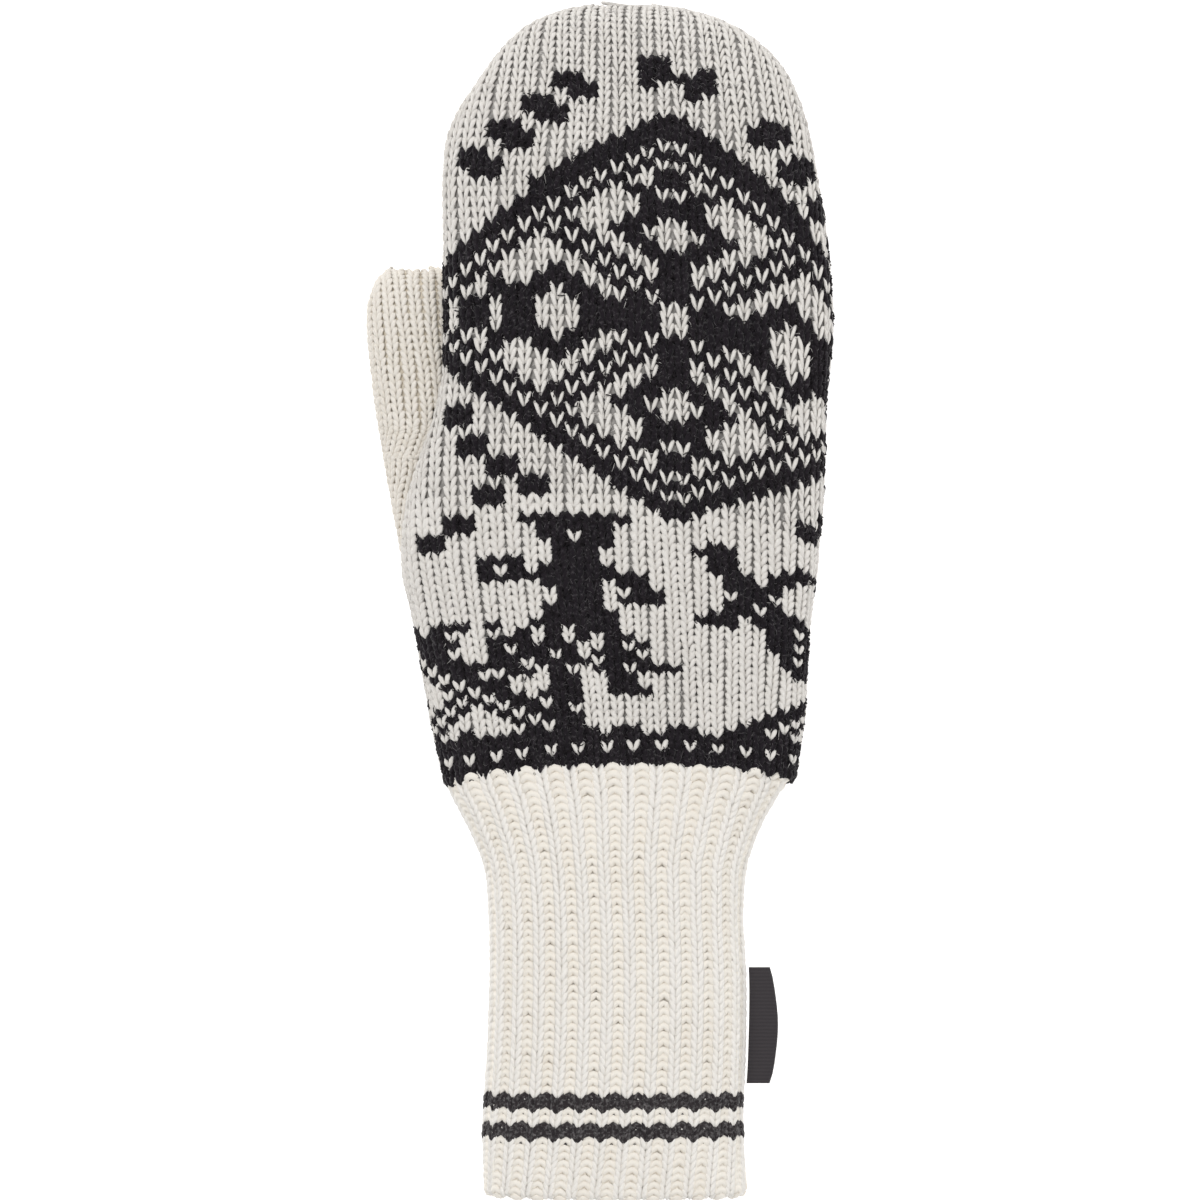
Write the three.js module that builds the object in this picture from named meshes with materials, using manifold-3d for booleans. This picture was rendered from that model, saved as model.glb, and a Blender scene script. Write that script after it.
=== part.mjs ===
// A knitted winter mitten lying on its palm: a patterned hand with a rounded tip, a plain thumb beside it,
// a long ribbed cuff and a small folded cloth tab sewn into the cuff's side.
// Millimetres, +Z up, +Y from the hem to the fingertips, +X towards the side with the tab.
// Every knitted piece is a hollow wall. The hem is open, and the thumb opens into the hand.

import * as THREE from "three";
import Module from "manifold-3d";

const wasm = await Module();
wasm.setup();

// Driving dimensions

const handLength = 190.5; // wrist line to fingertips
const handWidth = 96.5; // across the knuckles
const handThickness = 30; // palm to back, as it lies with some air in it
const handWall = 3; // two-colour knitting, with the yarn floats behind it
const thumbLength = 83; // from inside the palm to the tip
const thumbWidth = 26.5;
const thumbThickness = 17;
const thumbWall = 2.5;
const cuffLength = 109; // hem to wrist line
const cuffWidth = 64.5;
const cuffThickness = 30;
const cuffWall = 3.2; // from the crest of a rib to the smooth inside
const cuffOffset = -5; // the cuff's middle from the hand's middle
const ribCount = 28;
const ribDepth = 1.5; // crest to groove
const ribFade = 14; // ribs rise to full depth over this length below the wrist
const hemFade = 12; // and sink over this length above the hem
const wristDropLeft = 4; // the wrist line sags towards its ends
const wristDropRight = 1.6;
const hemRise = 1.8; // the hem's ends lie higher than its middle
const seamGap = 0.3; // between pieces that meet
const tabLength = 29; // along the cuff's side
const tabReach = 7.6; // how far the fold stands out from the cuff
const tabThickness = 1.4; // two layers of woven tape
const tabHeight = 15; // the tab's middle above the floor
const tabStart = 28.8; // from the hem to the tab's near end

// Where the thumb's table starts, and where it parts from the hand, as shares of the hand's length
const thumbStart = 0.215;
const thumbCrotch = 0.4;

// Height of the widest line of a section, as a share of its thickness
const edgeHeight = 0.57;
const thumbEdgeHeight = 0.5;

// How square a section's corners are: 2 is an ellipse
const backSquareness = 2.35;
const palmSquareness = 3.1;
const thumbSquareness = 2.2;
// The flat on the underside reaches this far below the floor before it is cut level
const underCut = 1.3;

// Points round a ring, and rings along a piece
const handPointCount = 48;
const handRingCount = 25;
const thumbPointCount = 24;
const thumbRingCount = 13;
const pointCountPerRib = 4;
const cuffRingCount = 9;

// The hand from the wrist (0) to the tip (1).
// left and right: edges from the middle, as shares of handWidth. thick: share of handThickness.
// lift: how far the underside has left the floor, as a share of handThickness.
// nook: squareness of the lower corner on the thumb's side, low where the thumb lies under the edge.
const HAND_COLUMNS = ["along", "left", "right", "thick", "lift", "nook"];
const HAND_SECTIONS = [
  [0.0, 0.5, 0.4145, 0.95, 0, 3.0],
  [0.03, 0.511, 0.427, 0.955, 0, 3.0],
  [0.081, 0.544, 0.437, 0.97, 0, 3.0],
  [0.16, 0.565, 0.443, 0.99, 0, 3.1],
  [0.213, 0.593, 0.454, 1.0, 0, 3.1],
  [0.265, 0.612, 0.47, 1.0, 0, 3.0],
  [0.33, 0.6, 0.48, 1.0, 0, 2.7],
  [0.37, 0.586, 0.486, 1.0, 0, 2.3],
  [0.42, 0.552, 0.487, 1.0, 0, 2.0],
  [0.475, 0.516, 0.488, 1.0, 0, 1.9],
  [0.53, 0.503, 0.502, 1.0, 0, 1.9],
  [0.58, 0.503, 0.508, 1.0, 0, 1.9],
  [0.685, 0.504, 0.492, 0.99, 0, 2.1],
  [0.79, 0.502, 0.461, 0.97, 0, 2.5],
  [0.816, 0.497, 0.451, 0.96, 0, 2.6],
  [0.8425, 0.482, 0.438, 0.94, 0, 2.6],
  [0.869, 0.449, 0.4245, 0.92, 0.005, 2.6],
  [0.895, 0.4145, 0.4, 0.88, 0.01, 2.6],
  [0.921, 0.378, 0.37, 0.83, 0.02, 2.6],
  [0.9475, 0.339, 0.318, 0.76, 0.04, 2.5],
  [0.974, 0.277, 0.24, 0.63, 0.08, 2.4],
  [0.9895, 0.198, 0.145, 0.46, 0.13, 2.2],
  [1.0, 0.11, 0.03, 0.14, 0.22, 2.0],
];

// The thumb from inside the palm (0) to its tip (1).
// out: its middle from the hand's middle, as a share of handWidth. half: share of thumbWidth.
// thick and lift: shares of thumbThickness.
const THUMB_COLUMNS = ["along", "out", "half", "thick", "lift"];
const THUMB_SECTIONS = [
  [0.0, 0.4585, 0.377, 0.62, 0.32],
  [0.115, 0.491, 0.42, 0.8, 0.18],
  [0.235, 0.505, 0.453, 0.94, 0.06],
  [0.355, 0.518, 0.472, 1.0, 0],
  [0.476, 0.532, 0.486, 1.0, 0],
  [0.596, 0.5466, 0.4906, 1.0, 0],
  [0.717, 0.558, 0.495, 1.0, 0],
  [0.837, 0.565, 0.5, 0.97, 0],
  [0.898, 0.566, 0.486, 0.91, 0.01],
  [0.958, 0.57, 0.415, 0.76, 0.04],
  [0.979, 0.5725, 0.356, 0.62, 0.08],
  [1.0, 0.58, 0.24, 0.22, 0.21],
];

// The cuff from the hem (0) to the wrist (1).
// half and sway: half width and drift of the middle, as shares of cuffWidth.
// flareLeft, flareRight: how far each edge has moved from the narrow cuff to the hand's edge.
const CUFF_COLUMNS = ["along", "half", "sway", "flareLeft", "flareRight"];
const CUFF_SECTIONS = [
  [0.0, 0.5155, -0.006, 0, 0],
  [0.111, 0.5155, -0.018, 0, 0],
  [0.203, 0.5087, -0.0165, 0, 0],
  [0.317, 0.507, -0.004, 0, 0],
  [0.5, 0.504, 0.004, 0, 0],
  [0.638, 0.497, -0.004, 0, 0],
  [0.73, 0.5, -0.006, 0.01, 0.005],
  [0.785, 0.5, 0, 0.115, 0.06],
  [0.835, 0.5, 0, 0.32, 0.21],
  [0.885, 0.5, 0, 0.525, 0.375],
  [0.935, 0.5, 0, 0.77, 0.6],
  [0.975, 0.5, 0, 0.93, 0.87],
  [1.0, 0.5, 0, 1, 1],
];

// The tab's fold, from its hem end (0) to its wrist end (1), as shares of tabReach
const TAB_OUTLINE = [
  [0.0, 0.8],
  [0.12, 0.9],
  [0.5, 1.0],
  [0.88, 0.84],
  [1.0, 0.74],
];

// Interpolation in the tables

function lerp(a, b, t) {
  return a + (b - a) * t;
}

// A smooth row at any place along a table, by a Catmull-Rom curve through its rows.
function rowAt(table, columns, along) {
  const last = table.length - 1;
  const at = THREE.MathUtils.clamp(along, table[0][0], table[last][0]);
  let i = 0;
  while (i < last - 1 && table[i + 1][0] < at) i += 1;
  const [before, from, to, after] = [i - 1, i, i + 1, i + 2].map((k) => table[Math.min(Math.max(k, 0), last)]);
  const span = to[0] - from[0];
  const t = (at - from[0]) / span;
  const row = {};
  columns.forEach((name, c) => {
    const slopeFrom = before === from ? (to[c] - from[c]) / span : (to[c] - before[c]) / (to[0] - before[0]);
    const slopeTo = after === to ? (to[c] - from[c]) / span : (after[c] - from[c]) / (after[0] - from[0]);
    const t2 = t * t;
    const t3 = t2 * t;
    row[name] =
      (2 * t3 - 3 * t2 + 1) * from[c] +
      (t3 - 2 * t2 + t) * span * slopeFrom +
      (3 * t2 - 2 * t3) * to[c] +
      (t3 - t2) * span * slopeTo;
  });
  return row;
}

// Sections: each says its edges, floor and top, the height of its widest line, and its corners

const wristY = cuffLength;

function handSection(along) {
  const row = rowAt(HAND_SECTIONS, HAND_COLUMNS, along);
  const floor = row.lift * handThickness;
  const fade = Math.max(0, 1 - along / 0.22) ** 2;
  return {
    y: wristY + seamGap / 2 + along * (handLength - seamGap / 2),
    left: -row.left * handWidth,
    right: row.right * handWidth,
    floor,
    top: floor + row.thick * handThickness,
    edge: floor + edgeHeight * row.thick * handThickness,
    lowerLeft: row.nook,
    lowerRight: palmSquareness,
    back: backSquareness,
    dropLeft: wristDropLeft * fade,
    dropRight: wristDropRight * fade,
  };
}

function thumbSection(along) {
  const row = rowAt(THUMB_SECTIONS, THUMB_COLUMNS, along);
  const middle = -row.out * handWidth;
  const floor = row.lift * thumbThickness;
  const thick = row.thick * thumbThickness;
  return {
    y: wristY + thumbStart * handLength + along * thumbLength,
    left: middle - row.half * thumbWidth,
    right: middle + row.half * thumbWidth,
    floor,
    top: floor + thick,
    edge: floor + thumbEdgeHeight * thick,
    lowerLeft: thumbSquareness,
    lowerRight: thumbSquareness,
    back: thumbSquareness,
    dropLeft: 0,
    dropRight: 0,
  };
}

function cuffSection(along) {
  const row = rowAt(CUFF_SECTIONS, CUFF_COLUMNS, along);
  const wrist = handSection(0);
  const middle = cuffOffset + row.sway * cuffWidth;
  const flare = (row.flareLeft + row.flareRight) / 2;
  const thick = lerp(cuffThickness, wrist.top, flare);
  const nearWrist = Math.max(0, 1 - (1 - along) / 0.45) ** 2;
  const nearHem = Math.max(0, 1 - along / 0.3) ** 2;
  return {
    y: along * (cuffLength - seamGap / 2),
    left: lerp(middle - row.half * cuffWidth, wrist.left, row.flareLeft),
    right: lerp(middle + row.half * cuffWidth, wrist.right, row.flareRight),
    floor: 0,
    top: thick,
    edge: edgeHeight * thick,
    lowerLeft: lerp(palmSquareness, wrist.lowerLeft, flare),
    lowerRight: palmSquareness,
    back: backSquareness,
    dropLeft: wristDropLeft * nearWrist - hemRise * nearHem,
    dropRight: wristDropRight * nearWrist - hemRise * nearHem,
  };
}

// A closed ring of points on a section, grown outwards by margin (inwards if it is negative).
// ribs is the number of ribs round it, and depth how far a groove lies under a crest.
function ring(section, count, margin, ribs, depth) {
  const middle = (section.left + section.right) / 2;
  const halfWidth = (section.right - section.left) / 2 + margin;
  const up = section.top - section.edge + margin;
  const down = section.edge - section.floor + margin;
  const lowest = section.floor - margin;
  const dense = [];
  const steps = 720;
  for (let i = 0; i < steps; i += 1) {
    const angle = (i / steps) * 2 * Math.PI;
    const c = Math.cos(angle);
    const s = Math.sin(angle);
    const lower = c < 0 ? section.lowerLeft : section.lowerRight;
    const square = s >= 0 ? section.back : lower;
    const x = middle + halfWidth * Math.sign(c) * Math.abs(c) ** (2 / square);
    const rise = s >= 0 ? up : down + underCut;
    const z = section.edge + rise * Math.sign(s) * Math.abs(s) ** (2 / square);
    dense.push(new THREE.Vector2(x, Math.max(z, lowest)));
  }
  const curve = new THREE.CatmullRomCurve3(
    dense.map((p) => new THREE.Vector3(p.x, 0, p.y)),
    true,
    "centripetal",
  );
  curve.arcLengthDivisions = steps * 2;
  const points = curve.getSpacedPoints(count).slice(0, count);
  const radius = (section.right - section.left) / 2;
  return points.map((p, i) => {
    const before = points[(i + count - 1) % count];
    const after = points[(i + 1) % count];
    const normal = new THREE.Vector2(after.z - before.z, before.x - after.x).normalize();
    const wave = (Math.cos((2 * Math.PI * ribs * i) / count) - 1) / 2;
    const sink = ribs > 0 ? depth * wave : 0;
    const x = p.x + normal.x * sink;
    const z = Math.max(p.z + normal.y * sink, lowest);
    const share = (p.x - middle) / radius;
    const drop = (share < 0 ? section.dropLeft : section.dropRight) * share * share;
    return new THREE.Vector3(x, section.y - drop, z);
  });
}

// Solids

// A solid through a row of rings that each have as many points, closed by a fan at either end.
function loft(rings) {
  const count = rings[0].length;
  const vertices = rings.flat().flatMap((p) => [p.x, p.y, p.z]);
  const triangles = [];
  for (let r = 0; r + 1 < rings.length; r += 1) {
    for (let i = 0; i < count; i += 1) {
      const j = (i + 1) % count;
      const [a, b, c, d] = [r * count + i, r * count + j, (r + 1) * count + i, (r + 1) * count + j];
      triangles.push(a, c, b, b, c, d);
    }
  }
  [rings[0], rings[rings.length - 1]].forEach((end, which) => {
    const centre = end.reduce((sum, p) => sum.add(p), new THREE.Vector3()).divideScalar(count);
    const hub = vertices.length / 3;
    vertices.push(centre.x, centre.y, centre.z);
    const base = which === 0 ? 0 : (rings.length - 1) * count;
    for (let i = 0; i < count; i += 1) {
      const [a, b] = [base + i, base + ((i + 1) % count)];
      if (which === 0) triangles.push(a, b, hub);
      else triangles.push(b, a, hub);
    }
  });
  const mesh = new wasm.Mesh({
    numProp: 3,
    vertProperties: new Float32Array(vertices),
    triVerts: new Uint32Array(triangles),
  });
  return new wasm.Manifold(mesh);
}

// Shares from 0 to 1 for count rings, closer together towards the tip.
function tipShares(count, crowding) {
  return Array.from({ length: count }, (_, i) => 1 - (1 - i / (count - 1)) ** crowding);
}

// The same ring moved along the mitten.
function shifted(points, dy) {
  return points.map((p) => new THREE.Vector3(p.x, p.y + dy, p.z));
}

const handShares = tipShares(handRingCount, 1.55);
const thumbShares = tipShares(thumbRingCount, 1.45);

// The hand's form grown by margin. A cavity is shorter by its wall and runs on past the wrist.
function handForm(margin) {
  const rings = handShares.map((along) => {
    const shorter = margin < 0 ? along * margin : 0;
    return shifted(ring(handSection(along), handPointCount, margin, 0, 0), shorter);
  });
  if (margin < 0) rings.unshift(shifted(rings[0], 2 * margin));
  return loft(rings);
}

function thumbForm(margin) {
  const rings = thumbShares.map((along) => {
    const shorter = margin < 0 ? along * margin : 0;
    return shifted(ring(thumbSection(along), thumbPointCount, margin, 0, 0), shorter);
  });
  return loft(rings);
}

// The cuff's form: ribbed outside, smooth inside and run on past both ends.
function cuffForm(margin) {
  const points = ribCount * pointCountPerRib;
  const rings = [];
  for (let r = 0; r < cuffRingCount; r += 1) {
    // Rings crowd towards the wrist, where the cuff flares.
    const along = 1 - (1 - r / (cuffRingCount - 1)) ** 1.5;
    const fromWrist = (1 - along) * cuffLength;
    const fromHem = along * cuffLength;
    const rise = Math.min(1, fromWrist / ribFade) * lerp(0.45, 1, Math.min(1, fromHem / hemFade));
    const ribs = margin < 0 ? 0 : ribCount;
    rings.push(ring(cuffSection(along), points, margin, ribs, ribDepth * rise));
  }
  if (margin < 0) {
    rings.unshift(shifted(rings[0], 2 * margin));
    rings.push(shifted(rings[rings.length - 1], -2 * margin));
  }
  return loft(rings);
}

// The largest connected piece of a solid, so that no sliver of a cut is left.
function largest(solid) {
  return solid.decompose().sort((a, b) => b.volume() - a.volume())[0];
}

// Pieces

// The thumb opens into the hand as far as the crotch. Beyond it the thumb's own wall lies against the hand.
const crotchY = wristY + thumbCrotch * handLength;
const thumbInside = thumbForm(-thumbWall);

function makeHand() {
  const thumbHole = thumbInside.trimByPlane([0, -1, 0], -crotchY);
  return largest(handForm(0).subtract(handForm(-handWall)).subtract(thumbHole));
}

function makeThumb() {
  const wallBeside = handForm(seamGap + thumbWall).trimByPlane([0, 1, 0], crotchY);
  return largest(thumbForm(0).subtract(handForm(seamGap)).subtract(thumbInside.subtract(wallBeside)));
}

function makeCuff() {
  return largest(cuffForm(0).subtract(cuffForm(-cuffWall)));
}

// The cuff's side edge at a distance from the hem.
function cuffEdgeAt(y) {
  return cuffSection(y / cuffLength).right;
}

// The tab: a strip folded on its outer edge, with both ends caught in the cuff's side.
function makeTab() {
  const steps = 12;
  const rounding = tabThickness / 2;
  const rings = [];
  for (let i = 0; i <= steps; i += 1) {
    const share = i / steps;
    const y = tabStart + share * tabLength;
    const reach = rowAt(TAB_OUTLINE, ["along", "reach"], share).reach * tabReach;
    const inner = cuffEdgeAt(y) + seamGap;
    const outer = cuffEdgeAt(y) + reach;
    const outline = [new THREE.Vector3(inner, y, tabHeight + rounding), new THREE.Vector3(inner, y, tabHeight - rounding)];
    for (let k = 0; k <= 4; k += 1) {
      const angle = -Math.PI / 2 + (k / 4) * Math.PI;
      outline.push(
        new THREE.Vector3(
          outer - rounding + rounding * Math.cos(angle),
          y,
          tabHeight + rounding * Math.sin(angle),
        ),
      );
    }
    rings.push(outline);
  }
  return loft(rings);
}

// Meshes

function geometryOf(solid) {
  const mesh = solid.getMesh();
  const positions = new Float32Array(mesh.numVert * 3);
  for (let v = 0; v < mesh.numVert; v += 1) {
    for (let axis = 0; axis < 3; axis += 1) {
      positions[v * 3 + axis] = mesh.vertProperties[v * mesh.numProp + axis];
    }
  }
  const geometry = new THREE.BufferGeometry();
  geometry.setAttribute("position", new THREE.BufferAttribute(positions, 3));
  geometry.setIndex(new THREE.BufferAttribute(mesh.triVerts, 1));
  geometry.computeVertexNormals();
  return geometry;
}

function knit(color) {
  return new THREE.MeshStandardMaterial({ color, roughness: 0.95, metalness: 0 });
}

const PIECES = [
  ["hand", makeHand(), knit(0xd6d3cd)],
  ["thumb", makeThumb(), knit(0xe0dace)],
  ["cuff", makeCuff(), knit(0xece7dd)],
  ["side_tab", makeTab(), new THREE.MeshStandardMaterial({ color: 0x2c2a2c, roughness: 0.7, metalness: 0 })],
];

const mitten = new THREE.Group();
for (const [name, solid, material] of PIECES) {
  const mesh = new THREE.Mesh(geometryOf(solid), material);
  mesh.name = name;
  mitten.add(mesh);
}

// The origin is on the floor under the middle of the whole mitten.
const bounds = new THREE.Box3().setFromObject(mitten);
const centre = bounds.getCenter(new THREE.Vector3());
mitten.position.set(-centre.x, -centre.y, -bounds.min.z);

export default mitten;
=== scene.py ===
"""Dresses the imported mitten: every stitch is modelled, in two yarns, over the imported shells."""

import math

import bpy
import numpy as np
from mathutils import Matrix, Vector
from mathutils.bvhtree import BVHTree


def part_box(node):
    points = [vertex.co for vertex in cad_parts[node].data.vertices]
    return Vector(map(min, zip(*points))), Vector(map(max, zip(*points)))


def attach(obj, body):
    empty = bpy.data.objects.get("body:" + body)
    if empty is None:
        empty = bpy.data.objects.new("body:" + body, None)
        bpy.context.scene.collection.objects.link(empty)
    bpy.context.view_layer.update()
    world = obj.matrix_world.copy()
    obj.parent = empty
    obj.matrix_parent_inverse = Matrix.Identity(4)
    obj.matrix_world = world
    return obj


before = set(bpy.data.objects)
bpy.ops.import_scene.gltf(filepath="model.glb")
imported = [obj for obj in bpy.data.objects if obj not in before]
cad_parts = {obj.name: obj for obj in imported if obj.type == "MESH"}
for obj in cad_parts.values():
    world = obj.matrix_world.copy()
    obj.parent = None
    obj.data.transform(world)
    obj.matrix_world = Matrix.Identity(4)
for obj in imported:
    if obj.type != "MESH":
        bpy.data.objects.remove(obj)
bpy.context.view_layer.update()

scene = bpy.context.scene
rng = np.random.default_rng(seed=7)
MM = 0.001

# The picture is square, a pixel is a quarter of a millimetre, and the frame's origin lies at its middle.
# Heights in it are counted down from its top.
PICTURE_SIZE = 1200
PICTURE_MIDDLE = (PICTURE_SIZE - 1) / 2
PIXEL = 0.25 * MM


def along_picture(height):
    """A place along the mitten from a height in the picture."""
    return (PICTURE_MIDDLE - height) * PIXEL


def picture_height(y):
    """A height in the picture from a place along the mitten."""
    return PICTURE_MIDDLE - y / PIXEL


def table(rows, at):
    """The second column of a short table, read between its rows. The first column rises."""
    rows = np.asarray(rows, float)
    return np.interp(at, rows[:, 0], rows[:, 1])


def axis_line(rows):
    """The line from which columns are counted: a function that gives x at y, from places in the picture."""
    return lambda y: (table(rows, picture_height(y)) - PICTURE_MIDDLE) * PIXEL


def every(columns, rows):
    """Every column with every row, as two lists of numbers."""
    return [grid.ravel().astype(float) for grid in np.meshgrid(columns, rows)]


def unit(vectors):
    """The same directions at length 1."""
    return vectors / np.maximum(np.linalg.norm(vectors, axis=-1, keepdims=True), 1e-12)


def smooth(values, sigma, axis):
    """Gaussian smoothing along one axis, in samples. Values run on past both ends, turned round them."""
    reach = int(3 * sigma) + 1
    kernel = np.exp(-0.5 * (np.arange(-reach, reach + 1) / sigma) ** 2)
    kernel /= kernel.sum()
    moved = np.moveaxis(values, axis, 0)
    before = 2 * moved[:1] - moved[1 : reach + 1][::-1]
    after = 2 * moved[-1:] - moved[-reach - 1 : -1][::-1]
    padded = np.concatenate([before, moved, after])
    result = sum(k * padded[i : i + len(moved)] for i, k in enumerate(kernel))
    return np.moveaxis(result, 0, axis)


# Skins: the outer surface of a packed shell, as a grid of arc across by arc along


def convex(points):
    """The convex outline of flat points, anticlockwise."""
    order = sorted(map(tuple, points))

    def half(run):
        chain = []
        for p in run:
            while len(chain) > 1:
                (ax, az), (bx, bz) = chain[-2], chain[-1]
                if (bx - ax) * (p[1] - az) - (bz - az) * (p[0] - ax) > 0:
                    break
                chain.pop()
            chain.append(p)
        return chain[:-1]

    return np.array(half(order) + half(order[::-1]))


def length_round(outline):
    """The length of a closed outline."""
    return np.linalg.norm(np.roll(outline, -1, 0) - outline, axis=1).sum()


class Skin:
    """A shell's outer surface. point(s, t) takes the arc across from the axis line and the arc along it."""

    # Columns of the grid are this far apart, and its rows are a millimetre apart
    ARC = 0.5 * MM
    # Rows that run on past each end, because an edge sags below its middle
    SPARE = 14
    # Rows over which the shell's slope at its low end is taken
    SLOPE_ROWS = 6
    # How far away rays start: the straight ones, and those cast at a section from all round
    FAR = 0.2
    FAR_ROUND = 0.15
    SECTION_RAYS = 240
    # Heights at which a section's sides are sought
    SIDE_HEIGHTS = np.linspace(0.004, 0.026, 8)
    # The side lines are sought within this share of the grid on each side of the axis
    SIDE_SHARE = 0.42
    # How much the side lines are smoothed, in rows: where they close in round a tip, and elsewhere
    SMOOTH_TIP = 1
    SMOOTH_PLAIN = 3
    # Trial places for the profile, and how much they crowd towards the tip
    TRIALS = 900
    CROWDING = 1.5

    def __init__(self, node, y_low, y_high, axis, side, fill=False, soften=(2.0, 1.5)):
        """side is 1 for the upper face and -1 for the lower. fill makes sections convex."""
        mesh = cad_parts[node].data
        self.tree = BVHTree.FromPolygons([v.co for v in mesh.vertices], [p.vertices for p in mesh.polygons])
        self.axis, self.side, self.fill = axis, side, fill
        ys = self.profile(y_low, y_high)
        outlines = [self.outline(y) for y in ys]
        perimeter = np.array([length_round(o) for o in outlines])
        self.s0 = -perimeter.max() / 2
        count = int(-2 * self.s0 / self.ARC) + 1
        s = self.s0 + np.arange(count) * self.ARC
        grid = np.zeros((len(ys), count, 3))
        # Near a tip the axis runs past the section, and arcs still count from the axis
        beyond = np.zeros(len(ys))
        for i, (y, o) in enumerate(zip(ys, outlines)):
            beyond[i] = axis(y) - np.clip(axis(y), o[:, 0].min(), o[:, 0].max())
            grid[i, :, 0], grid[i, :, 2] = self.resample(o, s + beyond[i], y)
            grid[i, :, 1] = y
        raw = grid.copy()
        grid[:, :, 0::2] = smooth(smooth(grid[:, :, 0::2], soften[0], 0), soften[1], 1)
        grid[:, :, 1] = smooth(grid[:, :, 1], soften[0] / 2, 0)
        self.relief = raw - grid
        self.grid = self.run_on(grid)
        self.perimeter = np.pad(perimeter, self.SPARE, mode="edge")
        self.t0 = -self.SPARE * MM
        self.t_end = (len(ys) - 1) * MM
        across = np.gradient(self.grid, axis=1)
        along = np.gradient(self.grid, axis=0)
        self.normal = side * unit(np.cross(across, along))
        self.find_sides(beyond)

    def profile(self, y_low, y_high):
        """Places along the mitten, a millimetre apart on the line along the axis over the surface."""
        fine = y_high - (y_high - y_low) * np.linspace(1, 0, self.TRIALS) ** self.CROWDING
        height = []
        for y in fine:
            hit = self.hit((self.axis(y), y, self.side * self.FAR), (0, 0, -self.side))
            height.append(hit.z if hit else (height[-1] if height else 0.0))
        arc = np.concatenate([[0], np.cumsum(np.hypot(np.diff(fine), np.diff(height)))])
        return np.interp(np.arange(0, arc[-1], MM), arc, fine)

    def hit(self, start, way):
        """Where a ray meets the shell, or nothing."""
        return self.tree.ray_cast(Vector(start), Vector(way))[0]

    def outline(self, y):
        """The section's outer outline at y, as points in x and z, anticlockwise from +x."""
        rights = [self.hit((self.FAR, y, h), (-1, 0, 0)) for h in self.SIDE_HEIGHTS]
        lefts = [self.hit((-self.FAR, y, h), (1, 0, 0)) for h in self.SIDE_HEIGHTS]
        high = max(h.x for h in rights if h)
        low = min(h.x for h in lefts if h)
        middle = (low + high) / 2
        top = self.hit((middle, y, self.FAR), (0, 0, -1))
        bottom = self.hit((middle, y, -self.FAR), (0, 0, 1))
        centre = Vector((middle, y, (top.z + bottom.z) / 2))
        wide, tall = (high - low) / 2, (top.z - bottom.z) / 2
        points = []
        for angle in np.linspace(0, 2 * math.pi, self.SECTION_RAYS, endpoint=False):
            way = Vector((math.cos(angle) * wide, 0, math.sin(angle) * tall))
            way.normalize()
            hit = self.hit(centre + way * self.FAR_ROUND, -way)
            if hit:
                points.append((hit.x, hit.z))
        return convex(points) if self.fill else np.array(points)

    def resample(self, outline, s, y):
        """x and z at arcs s from the axis point, counted towards +x."""
        closed = np.concatenate([outline, outline[:1]])
        arc = np.concatenate([[0], np.cumsum(np.linalg.norm(np.diff(closed, axis=0), axis=1))])
        middle_z = (outline[:, 1].max() + outline[:, 1].min()) / 2
        on_side = (closed[:, 1] - middle_z) * self.side > 0
        order = np.argsort(closed[on_side, 0])
        start = np.interp(self.axis(y), closed[on_side, 0][order], arc[on_side][order])
        # An anticlockwise outline runs towards -x on top and towards +x underneath
        at = np.mod(start - s * self.side, arc[-1])
        return np.interp(at, arc, closed[:, 0]), np.interp(at, arc, closed[:, 1])

    def run_on(self, grid):
        """The grid with spare rows at both ends, which carry on straight."""
        slope = (grid[self.SLOPE_ROWS] - grid[0]) / self.SLOPE_ROWS
        slope[:, 1] = grid[1, :, 1] - grid[0, :, 1]
        before = grid[0] - slope * np.arange(self.SPARE, 0, -1)[:, None, None]
        slope = (grid[-1] - grid[-3]) / 2
        after = grid[-1] + slope * np.arange(1, self.SPARE + 1)[:, None, None]
        return np.concatenate([before, grid, after])

    def find_sides(self, beyond):
        """The side lines, where the skin turns over at its left and right: an arc for each row."""
        x = self.grid[:, :, 0]
        count = x.shape[1]
        middle = int(round(-self.s0 / self.ARC))
        reach = min(int(self.SIDE_SHARE * count), middle - 1, count - middle - 1)
        right = middle + np.argmax(x[:, middle : middle + reach], axis=1)
        left = middle - np.argmax(-x[:, middle - reach : middle + 1][:, ::-1], axis=1)
        right = self.s0 + right * self.ARC
        left = self.s0 + left * self.ARC
        for i in np.flatnonzero(beyond):
            row = i + self.SPARE
            ends = (-beyond[i], -beyond[i] - np.sign(beyond[i]) * self.perimeter[row] / 2)
            left[row], right[row] = min(ends), max(ends)
        past = self.SPARE + len(beyond)
        left[past:], right[past:] = left[past - 1], right[past - 1]
        sigma = self.SMOOTH_TIP if beyond.any() else self.SMOOTH_PLAIN
        self.right = smooth(right, sigma, 0)
        self.left = smooth(left, sigma, 0)

    def lookup(self, field, s, t):
        """A grid's value at arcs across and along, read between its rows and columns."""
        # Places stay just inside the last cell
        i = np.clip((t - self.t0) / MM, 0, len(field) - 1.001)
        j = np.clip((s - self.s0) / self.ARC, 0, field.shape[1] - 1.001)
        i0, j0 = i.astype(int), j.astype(int)
        fi, fj = (i - i0)[..., None], (j - j0)[..., None]
        near = field[i0, j0] * (1 - fj) + field[i0, j0 + 1] * fj
        far = field[i0 + 1, j0] * (1 - fj) + field[i0 + 1, j0 + 1] * fj
        return near * (1 - fi) + far * fi

    def line(self, values, t):
        """A number kept for each row, read at arcs along."""
        return np.interp(t, self.t0 + np.arange(len(values)) * MM, values)

    def share(self, s, t):
        """How far across the skin a place is: -1 at the left side line, 0 on the axis, 1 at the right."""
        return np.where(s > 0, s / self.line(self.right, t), -s / self.line(self.left, t))

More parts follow.
